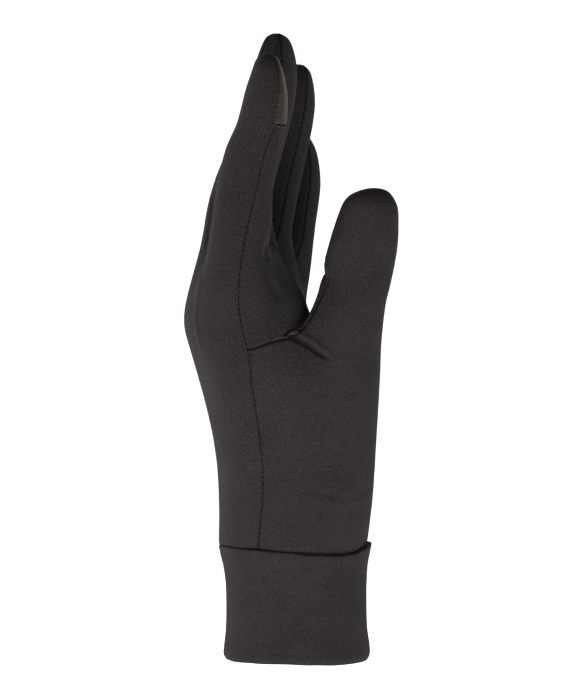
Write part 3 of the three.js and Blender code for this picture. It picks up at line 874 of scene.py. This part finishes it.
def new_object(name, verts, corners, sizes, uv=None):
    """A smooth mesh from places in millimetres, the corners of all its faces and the faces' sizes."""
    mesh = bpy.data.meshes.new(name)
    mesh.vertices.add(len(verts))
    mesh.vertices.foreach_set("co", np.ascontiguousarray(verts * MM, dtype=np.float32).ravel())
    mesh.loops.add(len(corners))
    mesh.loops.foreach_set("vertex_index", corners.astype(np.int32))
    mesh.polygons.add(len(sizes))
    mesh.polygons.foreach_set("loop_start", starts_of(sizes).astype(np.int32))
    mesh.update(calc_edges=True)
    if uv is not None:
        layer = mesh.uv_layers.new(name="cloth")
        layer.uv.foreach_set("vector", np.ascontiguousarray(uv, dtype=np.float32).ravel())
    mesh.polygons.foreach_set("use_smooth", np.full(len(sizes), True))
    mesh.validate()
    mesh.update()
    return placed(name, mesh)


def starts_of(sizes):
    return np.cumsum(sizes) - sizes


def quads_object(name, verts, quads, uv=None):
    return new_object(name, verts, quads.ravel(), np.full(len(quads), 4), uv)


def rim_of(a, b):
    """The directed edges from points a to points b that have no partner the other way."""
    big = int(a.max()) + 1
    key = a.astype(np.int64) * big + b
    back = b.astype(np.int64) * big + a
    alone = ~np.isin(back, key)
    return np.stack([a[alone], b[alone]], axis=1)


def panel_piece(s, normals, outside, panel):
    """A panel as a closed wall of cloth: the outside, the inside and a narrow strip along its rim."""
    mask = s.panel[s.face] == PANELS.index(panel)
    vert = s.vert[mask]
    uv = s.uv[mask]
    _, sizes = np.unique(s.face[mask], return_counts=True)
    rim = rim_of(vert, s.vert[s.after][mask])
    along = unit(s.points[rim[:, 1]] - s.points[rim[:, 0]])
    inset = np.zeros_like(s.points)
    for end in (0, 1):
        np.add.at(inset, rim[:, end], np.cross(normals[rim[:, end]], along))
    length = np.linalg.norm(inset, axis=1)
    on_rim = length > 0
    inset[on_rim] *= (SEAM_GAP / 2 / length[on_rim])[:, None]

    used, local = np.unique(vert, return_inverse=True)
    outer = (outside + inset)[used]
    inner = (s.points + inset - normals * CLOTH)[used]
    count = len(used)
    number = np.full(len(s.points), -1)
    number[used] = np.arange(count)
    a, b = number[rim[:, 0]], number[rim[:, 1]]
    strip = np.stack([b, a, a + count, b + count], axis=1)
    turned = np.repeat(2 * starts_of(sizes) + sizes - 1, sizes) - np.arange(len(local))
    corners = np.concatenate([local, local[turned] + count, strip.ravel()])
    all_sizes = np.concatenate([sizes, sizes, np.full(len(strip), 4)])
    all_uv = np.concatenate([uv, uv[turned], np.zeros((strip.size, 2))])
    verts = np.concatenate([outer, inner])
    return new_object(PANEL_NODES[panel] + "_cloth", verts, corners, all_sizes, all_uv)


# Where the seams on the thumb's side are moved up in the cloth's own plane: round which x and z, how
# far either way and by how much, where y is less than side.
SHIFT = dict(middle=(-9.5, 116.0), reach=(6.5, 5.0), up=1.3, side=-28.0)


def shifted(places):
    places = places.copy()
    offset = (places[:, [0, 2]] - SHIFT["middle"]) / SHIFT["reach"]
    lift = SHIFT["up"] * np.exp(-(offset**2).sum(1))
    places[:, 2] += np.where(places[:, 1] < SHIFT["side"], lift, 0)
    return places


# The part of the cloth with the finest folds, which gets smaller quads: its corners, and how often
# its faces are split.
FINE_BOX = ((-20.0, -60.0, 107.0), (16.0, -24.0, 131.0))
FINE_LEVELS = 2


def in_fine_box(s):
    size = np.bincount(s.face)[:, None]
    centres = summed(s.face, s.points[s.vert], len(size)) / size
    return ((centres > FINE_BOX[0]) & (centres < FINE_BOX[1])).all(axis=1)


build_cage()
surface = fitted_surface()
surface.points = shifted(surface.points)
for _ in range(FINE_LEVELS):
    surface, normals = refined(surface, in_fine_box(surface))
chains = seam_chains(surface)
distance, along, kinds = nearest_seams(surface, chains)
relief = seam_relief(surface, chains, distance, along, kinds)
relief += cloth_relief(surface) * (1 - bell(distance, SEAM_CALM))
relief += fold_relief(surface, normals)
relief -= hem_tuck(surface)
outside = surface.points + normals * relief[:, None]


# Materials.


def material(name):
    made = bpy.data.materials.new(name)
    made.use_nodes = True
    tree = made.node_tree
    return made, tree, tree.nodes["Principled BSDF"]


def add_node(tree, kind, inputs=None, **settings):
    made = tree.nodes.new(kind)
    for key, value in settings.items():
        setattr(made, key, value)
    for key, value in (inputs or {}).items():
        if hasattr(value, "is_output"):
            tree.links.new(value, made.inputs[key])
        else:
            made.inputs[key].default_value = value
    return made


def worked(tree, operation, a, b=None):
    """The result of a math node on one or two values."""
    inputs = {0: a} if b is None else {0: a, 1: b}
    return add_node(tree, "ShaderNodeMath", inputs, operation=operation).outputs[0]


def noise_of(tree, place, scale, detail):
    inputs = {"Vector": place, "Scale": scale, "Detail": detail}
    return add_node(tree, "ShaderNodeTexNoise", inputs).outputs[0]


def place_of(tree):
    return add_node(tree, "ShaderNodeTexCoord").outputs["Object"]


def ramp(tree, factor, stops):
    made = add_node(tree, "ShaderNodeValToRGB", {"Fac": factor})
    elements = made.color_ramp.elements
    for element, (at, colour) in zip(elements, (stops[0], stops[-1])):
        element.position = at
        element.color = (*colour, 1)
    for at, colour in stops[1:-1]:
        element = elements.new(at)
        element.color = (*colour, 1)
    return made.outputs["Color"]


# A knit: how far its columns wander and over what length, how much its loops slant, and the share of
# loops and columns in its relief.
KNIT = dict(wander=0.5, wander_scale=0.35, slant=1.1, loops=0.6, columns=-0.5)


def knit_height(tree, wale, course):
    """The relief of a fine knit: columns of V-shaped loops, from the cloth's own UV in millimetres."""
    uv = add_node(tree, "ShaderNodeUVMap", uv_map="cloth").outputs["UV"]
    wander = worked(tree, "MULTIPLY", noise_of(tree, uv, KNIT["wander_scale"], 2.0), KNIT["wander"])
    apart = add_node(tree, "ShaderNodeSeparateXYZ", {0: uv})
    across = worked(tree, "DIVIDE", worked(tree, "ADD", apart.outputs[0], wander), wale)
    leg = worked(tree, "ABSOLUTE", worked(tree, "SUBTRACT", worked(tree, "FRACT", across), 0.5))
    rows = worked(tree, "DIVIDE", apart.outputs[1], course)
    slanted = worked(tree, "ADD", rows, worked(tree, "MULTIPLY", leg, KNIT["slant"]))
    loops = worked(tree, "SINE", worked(tree, "MULTIPLY", slanted, 2 * math.pi))
    columns = worked(tree, "COSINE", worked(tree, "MULTIPLY", leg, 4 * math.pi))
    return worked(tree, "ADD", worked(tree, "MULTIPLY", loops, KNIT["loops"]),
                  worked(tree, "MULTIPLY", columns, KNIT["columns"]))


FINISH_INPUTS = dict(roughness="Roughness", specular="Specular IOR Level", sheen="Sheen Weight",
                     sheen_roughness="Sheen Roughness", sheen_tint="Sheen Tint")


def finish(tree, shader, colour, height, bump, depth, **constants):
    """Gives a shader its colour, its bump and its constants."""
    tree.links.new(colour, shader.inputs["Base Color"])
    for key, value in constants.items():
        shader.inputs[FINISH_INPUTS[key]].default_value = value
    made = add_node(tree, "ShaderNodeBump", {"Height": height, "Strength": bump, "Distance": depth})
    tree.links.new(made.outputs[0], shader.inputs["Normal"])


# The jersey's colours and where they lie on its mottle, which is a broad and a fine noise, its knit
# and the fuzz on it.
JERSEY = dict(dark=(0.0140, 0.0118, 0.0121), light=(0.0385, 0.0324, 0.0330), dark_at=0.36, light_at=0.64,
              broad=0.2, broad_scale=55.0, fine=0.8, fine_scale=2500.0, fuzz=0.8, fuzz_scale=2600.0,
              wale=0.62, course=0.50)


def jersey_material(name, shade_tone):
    made, tree, shader = material(name)
    place = place_of(tree)
    broad, fine, fuzz = (
        worked(tree, "MULTIPLY", noise_of(tree, place, JERSEY[key + "_scale"], detail), JERSEY[key])
        for key, detail in (("broad", 3.0), ("fine", 1.0), ("fuzz", 2.0))
    )
    # Below 1 the factor darkens the jersey's colours: painted shade.
    dark, light = ([shade_tone * part for part in JERSEY[key]] for key in ("dark", "light"))
    stops = [(JERSEY["dark_at"], dark), (JERSEY["light_at"], light)]
    colour = ramp(tree, worked(tree, "ADD", broad, fine), stops)
    height = worked(tree, "ADD", knit_height(tree, JERSEY["wale"], JERSEY["course"]), fuzz)
    finish(tree, shader, colour, height, bump=0.45, depth=0.00008, roughness=0.85, specular=0.125,
           sheen=0.06, sheen_roughness=0.35, sheen_tint=(1.0, 0.9, 0.92, 1))
    return made


def patch_material():
    made, tree, shader = material("patch_weave")
    mottle = noise_of(tree, place_of(tree), scale=220.0, detail=3.0)
    colour = ramp(tree, mottle, [(0.3, (0.0260, 0.0206, 0.0158)), (0.7, (0.0430, 0.0345, 0.0268))])
    height = knit_height(tree, wale=0.42, course=0.36)
    finish(tree, shader, colour, height, bump=0.35, depth=0.00006, roughness=0.5, specular=0.2,
           sheen=0.3, sheen_roughness=0.2, sheen_tint=(1.0, 0.88, 0.72, 1))
    return made


def thread_material(name, low, high):
    made, tree, shader = material(name)
    twist = noise_of(tree, place_of(tree), scale=1800.0, detail=1.0)
    colour = ramp(tree, twist, [(0.3, low), (0.7, high)])
    finish(tree, shader, colour, twist, bump=0.4, depth=0.0001, roughness=0.7, specular=0.1)
    return made


jersey = jersey_material("jersey_cloth", shade_tone=1.0)
# The strips between the fingers get a darker copy of the jersey: painted shade for the shadow that falls
# between the fingers.
shaded_strip_jersey = jersey_material("jersey_strips_painted_shade", shade_tone=0.86)
patch_cloth = patch_material()
# The dark thread is near-black. In the thumb's seam it also stands in for the crease's shade, as painted
# shade.
dark_thread = thread_material("dark_thread", (0.003, 0.003, 0.003), (0.008, 0.007, 0.007))
pale_thread = thread_material("pale_thread", (0.07, 0.062, 0.053), (0.16, 0.143, 0.122))


def dress(piece, made, node=None):
    piece.data.materials.append(made)
    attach(piece, "root")
    if node:
        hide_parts(node)


for panel, node in PANEL_NODES.items():
    piece = panel_piece(surface, normals, outside, panel)
    if panel == "patch":
        dress(piece, patch_cloth, node)
    else:
        # The strips between the fingers take the darker jersey, painted shade.
        dress(piece, shaded_strip_jersey if panel in ("im", "mr", "rl") else jersey, node)


# The wrist band.

BAND_SIDES = 384
BAND_STEP = 0.7
BAND_CLOTH = 2.2
BAND_ROUND = 2 * math.pi * 28.0  # the length round it, for its knit


def smooth_profile(rows, step):
    """The band's sections at even steps up it, on a smooth curve through the table."""
    places = np.array([[row[name] for name in ("z", "x", "rx", "ry")] for row in rows], float)
    arc = arc_along(places[:, [0, 2]])
    tangent = np.gradient(places, arc, axis=0)
    at = np.linspace(0, arc[-1], int(round(arc[-1] / step)) + 1)
    k = np.clip(np.searchsorted(arc, at, side="right") - 1, 0, len(arc) - 2)
    gap = (arc[k + 1] - arc[k])[:, None]
    t = (at - arc[k])[:, None] / gap
    return (
        (2 * t**3 - 3 * t**2 + 1) * places[k]
        + (t**3 - 2 * t**2 + t) * gap * tangent[k]
        + (3 * t**2 - 2 * t**3) * places[k + 1]
        + (t**3 - t**2) * gap * tangent[k + 1]
    )


def band_piece():
    """The band as a closed ring of cloth, up its outside and down its inside."""
    outer = smooth_profile(BAND, BAND_STEP)
    rows = [(*row, 0.0) for row in outer] + [(*row, BAND_CLOTH) for row in outer[::-1]]
    k = np.arange(BAND_SIDES)
    angle = 2 * math.pi * k / BAND_SIDES
    verts = []
    for z, middle, rx, ry, inset in rows:
        x = (rx - inset) * np.cos(angle)
        y = (ry - inset) * np.sin(angle)
        rise = [lerp(height_round(HEM_RISE, *p), seam_rise(*p), z / BAND_TOP) for p in zip(x, y)]
        verts.append(np.stack([middle + x, y, z + np.array(rise)], axis=1))
    after = (k + 1) % BAND_SIDES
    u0 = k / BAND_SIDES * BAND_ROUND
    u1 = (k + 1) / BAND_SIDES * BAND_ROUND
    quads, uvs = [], []
    for p in range(len(rows)):
        low, high = p * BAND_SIDES, (p + 1) % len(rows) * BAND_SIDES
        quads.append(np.stack([low + k, low + after, high + after, high + k], axis=1))
        v0 = np.full(BAND_SIDES, p * BAND_STEP)
        v1 = v0 + BAND_STEP
        corners = ((u0, v0), (u1, v0), (u1, v1), (u0, v1))
        uvs.append(np.stack([np.stack(corner, axis=1) for corner in corners], axis=1))
    uvs = np.concatenate(uvs).reshape(-1, 2)
    return quads_object("wrist_band_cloth", np.concatenate(verts), np.concatenate(quads), uvs)


dress(band_piece(), jersey, "wrist_band")


# Stitches: short lengths of thread, one after the other along a seam.

STITCH_SIDES = 6
STITCH_ENDS = ((-0.5, 0.35), (-0.42, 0.85), (-0.2, 1.0), (0.2, 1.0), (0.42, 0.85), (0.5, 0.35))


def thread_piece(name, stitches, length, radius):
    """One mesh of many stitches, each given by its middle, its direction and its way up."""
    angle = 2 * math.pi * np.arange(STITCH_SIDES) / STITCH_SIDES
    middles, ways, ups = (np.array(v) for v in zip(*stitches))
    sides = np.cross(ways, ups)
    rings = []
    for along, full in STITCH_ENDS:
        centre = middles + ways * along * length
        for a in angle:
            rings.append(centre + (sides * math.cos(a) + ups * math.sin(a)) * radius * full)
    verts = np.stack(rings, axis=1)
    each = verts.shape[1]
    quads = []
    for p in range(len(STITCH_ENDS) - 1):
        for k in range(STITCH_SIDES):
            after = (k + 1) % STITCH_SIDES
            low, high = p * STITCH_SIDES, (p + 1) * STITCH_SIDES
            quads.append([high + k, high + after, low + after, low + k])
    top = (len(STITCH_ENDS) - 1) * STITCH_SIDES
    quads += [[0, 1, 2, 3], [0, 3, 4, 5]]
    quads += [[top + 3, top + 2, top + 1, top], [top + 5, top + 4, top + 3, top]]
    all_quads = (np.arange(len(stitches)) * each)[:, None, None] + np.array(quads)
    return quads_object(name, verts.reshape(-1, 3), all_quads.reshape(-1, 4))


def stitches_along(chain, pitch, sink, aside=0.0):
    """A stitch every pitch along a seam of the surface, or aside from it, sunk by the given depth."""
    line, _ = resampled(np.concatenate([surface.points[chain], normals[chain]], axis=1), pitch)
    places, ups = line[:, :3], line[:, 3:]
    ups = unit(ups)
    ways = unit(np.gradient(places, axis=0))
    ups = unit(ups - ways * (ups * ways).sum(1)[:, None])
    return list(zip(places - ups * sink + np.cross(ups, ways) * aside, ways, ups))


# Thread along each kind of seam: the stitches' pitch, their length and radius, and how deep they lie.
STITCH_LOOKS = {
    "side": dict(pitch=2.1, length=1.0, radius=0.20, sink=0.14),
    "thumb": dict(pitch=1.2, length=1.5, radius=0.25, sink=0.34),
    # The thumb's stitches lie end to end in its deep groove as one near-black line: partly the real thread,
    # partly painted shade of the crease there.
    "finger": dict(pitch=2.0, length=1.3, radius=0.24, sink=0.28),
}
for look, thread in STITCH_LOOKS.items():
    found = []
    for pair, chain in chains:
        if seam_look(pair) == look:
            found += stitches_along(chain, thread["pitch"], thread["sink"])
    piece = thread_piece(look + "_seam_stitches", found, thread["length"], thread["radius"])
    dress(piece, dark_thread)


# Low on the side seam rungs of thread lie across it like a ladder.
LADDER = dict(below=67.0, pitch=1.5, length=1.4, radius=0.13, sink=0.04)
rungs = []
for pair, chain in chains:
    if seam_look(pair) == "side":
        for place, way, up in stitches_along(chain, LADDER["pitch"], LADDER["sink"]):
            if place[2] < LADDER["below"] and place[1] < 0:
                rungs.append((place, np.cross(up, way), up))
dress(thread_piece("side_seam_rungs", rungs, LADDER["length"], LADDER["radius"]), dark_thread)


# The patch is sewn on with a paler thread, and with two rows along its lower edge.
PATCH_STITCH = dict(pitch=1.7, length=0.8, radius=0.14)
PATCH_SINKS = dict(side=0.08, hem=0.05, row=-0.02)
ROW_ASIDE = 0.7
PALE_BELOW = 207.0
pale, dark = [], []
for pair, chain in chains:
    if pair == ("back", "patch") or pair == ("im", "patch"):
        for stitch in stitches_along(chain, PATCH_STITCH["pitch"], PATCH_SINKS["side"]):
            (pale if stitch[0][2] < PALE_BELOW else dark).append(stitch)
    elif pair == ("palm", "patch"):
        for aside in (-ROW_ASIDE, ROW_ASIDE):
            pale += stitches_along(chain, PATCH_STITCH["pitch"], PATCH_SINKS["row"], aside)
        dark += stitches_along(chain, PATCH_STITCH["pitch"], PATCH_SINKS["hem"])
for name, found, made in (("patch_stitches", pale, pale_thread), ("patch_hem_stitches", dark, dark_thread)):
    piece = thread_piece(name, found, PATCH_STITCH["length"], PATCH_STITCH["radius"])
    dress(piece, made)


# Floor, light and camera.

# Large soft lights all round the glove: name, turn, height and power. Turn 0 is the camera's side,
# 90 the back of the hand's.
LIGHT_DISTANCE = 1.3
LIGHT_SIZE = 0.9
LIGHT_AIM = (0.0, 0.0, 0.11)
LIGHTS = [
    ("low_front", 0, -50, 15.2),
    ("front", 0, 10, 1.2),
    ("front_left", 50, -30, 4.4),
    ("back_of_hand", 80, 10, 9.6),
    ("back_of_hand_far", 120, 10, 4.6),
    ("behind_left", 160, 10, 2.5),
    ("behind_right", 200, 10, 1.5),
    ("palm_far", 240, 10, 1.5),
    ("palm", 280, -20, 4.8),
    ("palm_front", 320, -20, 4.4),
]
WORLD_LIGHT = 0.12
FLOOR_Z = -0.12
STUDIO_RADIUS = 9.0
STUDIO_SIDES = 48
STUDIO_MIDDLE = 0.01  # radius of the innermost ring


def soft_light(name, turn, height, power):
    data = bpy.data.lights.new(name, "AREA")
    data.shape = "SQUARE"
    data.size = LIGHT_SIZE
    data.energy = power
    lamp = placed(name, data)
    way = Vector((-sin_of(turn) * cos_of(height), -cos_of(turn) * cos_of(height), sin_of(height)))
    lamp.location = Vector(LIGHT_AIM) + way * LIGHT_DISTANCE
    lamp.rotation_euler = way.to_track_quat("Z", "Y").to_euler()


def pale_material(name):
    """An even, pale surface that shines on the camera alone, like an overlit studio background."""
    made, tree, shader = material(name)
    grain = add_node(tree, "ShaderNodeTexNoise", {"Scale": 3.0})
    colour = ramp(tree, grain.outputs[0], [(0.3, (0.98, 0.98, 0.98)), (0.7, (1.0, 1.0, 1.0))])
    tree.links.new(colour, shader.inputs["Base Color"])
    tree.links.new(colour, shader.inputs["Emission Color"])
    shader.inputs["Emission Strength"].default_value = 1.1
    return made


def studio_piece(name, rings):
    """A round floor or backdrop: rings of points from the middle out, each a radius and a height."""
    angle = 2 * math.pi * np.arange(STUDIO_SIDES) / STUDIO_SIDES
    verts = [np.stack([r * np.cos(angle), r * np.sin(angle), np.full(STUDIO_SIDES, z)], 1) for r, z in rings]
    k = np.arange(STUDIO_SIDES)
    after = (k + 1) % STUDIO_SIDES
    quads = [np.stack([p + k, p + after, p + STUDIO_SIDES + after, p + STUDIO_SIDES + k], 1)
             for p in range(0, STUDIO_SIDES * (len(rings) - 1), STUDIO_SIDES)]
    piece = quads_object(name, np.concatenate(verts) / MM, np.concatenate(quads))
    piece.data.materials.append(pale_material(name))
    piece.visible_diffuse = False
    piece.visible_glossy = False
    piece.visible_shadow = False


studio_piece("studio_floor", [(r, FLOOR_Z) for r in (STUDIO_MIDDLE, STUDIO_RADIUS / 2, STUDIO_RADIUS)])
studio_piece("studio_backdrop", [
    (STUDIO_RADIUS * cos_of(up), FLOOR_Z + STUDIO_RADIUS * sin_of(up)) for up in range(0, 90, 10)
])
for light in LIGHTS:
    soft_light(*light)

scene = bpy.context.scene
world = bpy.data.worlds.new("studio")
world.use_nodes = True
world.node_tree.nodes["Background"].inputs["Color"].default_value = (1, 1, 1, 1)
world.node_tree.nodes["Background"].inputs["Strength"].default_value = WORLD_LIGHT
scene.world = world
scene.view_settings.view_transform = "Standard"

CAMERA_DISTANCE = 1.3
CAMERA_ELEVATION = 2.2
CAMERA_TARGET = (-0.0022, 0.0, 0.1132)
FOCAL_PIXELS = 3510
IMAGE_HEIGHT = 700
SENSOR = 36.0
CLIP_END = 50

camera_data = bpy.data.cameras.new("camera")
camera_data.sensor_width = SENSOR
camera_data.lens = FOCAL_PIXELS * SENSOR / IMAGE_HEIGHT
camera_data.clip_end = CLIP_END
camera = placed("camera", camera_data)
way = Vector((0, -cos_of(CAMERA_ELEVATION), sin_of(CAMERA_ELEVATION)))
eye = Vector(CAMERA_TARGET) + CAMERA_DISTANCE * way
camera.location = eye
camera.rotation_euler = (Vector(CAMERA_TARGET) - eye).to_track_quat("-Z", "Y").to_euler()
scene.camera = camera
